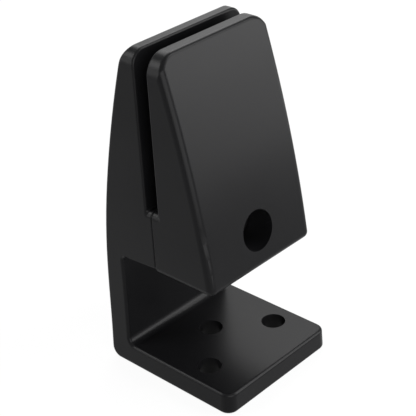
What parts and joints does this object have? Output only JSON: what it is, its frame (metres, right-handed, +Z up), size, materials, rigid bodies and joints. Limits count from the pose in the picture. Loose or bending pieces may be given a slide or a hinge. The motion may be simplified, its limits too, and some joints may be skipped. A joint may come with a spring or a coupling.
{
  "type": "desk screen bracket",
  "caption": "C-shaped bracket that takes a desktop's edge in its throat and clamps a screen upright in an open-topped slot with a screwed front jaw.",
  "frame": {"origin": "centre of the foot's underside", "axes": "+Z up along the spine, -Y the front, where the desktop's edge goes in, +X to the right seen from the front"},
  "size_m": [0.0402, 0.0436, 0.0939],
  "materials": {
    "black_coat": "satin black powder coat on cast metal",
    "screw_steel": "black oxide on turned alloy steel",
    "pin_steel": "ground hardened steel"
  },
  "bodies": {
    "bracket_body": {"body": "black_coat", "guide_pins": "pin_steel"},
    "jaw": {"front_jaw": "black_coat"},
    "screw": {"clamp_screw": "screw_steel"}
  },
  "joints": [
    {"name": "jaw_slide", "type": "slide", "parent": "bracket_body", "child": "jaw", "axis": [0, -1, 0], "range_m": [0, 0.004]},
    {"name": "screw_turn", "type": "hinge", "parent": "jaw", "child": "screw", "pos_m": [0, -0.0027, 0.044], "axis": [0, -1, 0], "range_deg": [0, 1440]}
  ],
  "couplings": [
    {"joint": "screw_turn", "follows": "jaw_slide", "rad_per_m": 6283.2}
  ]
}
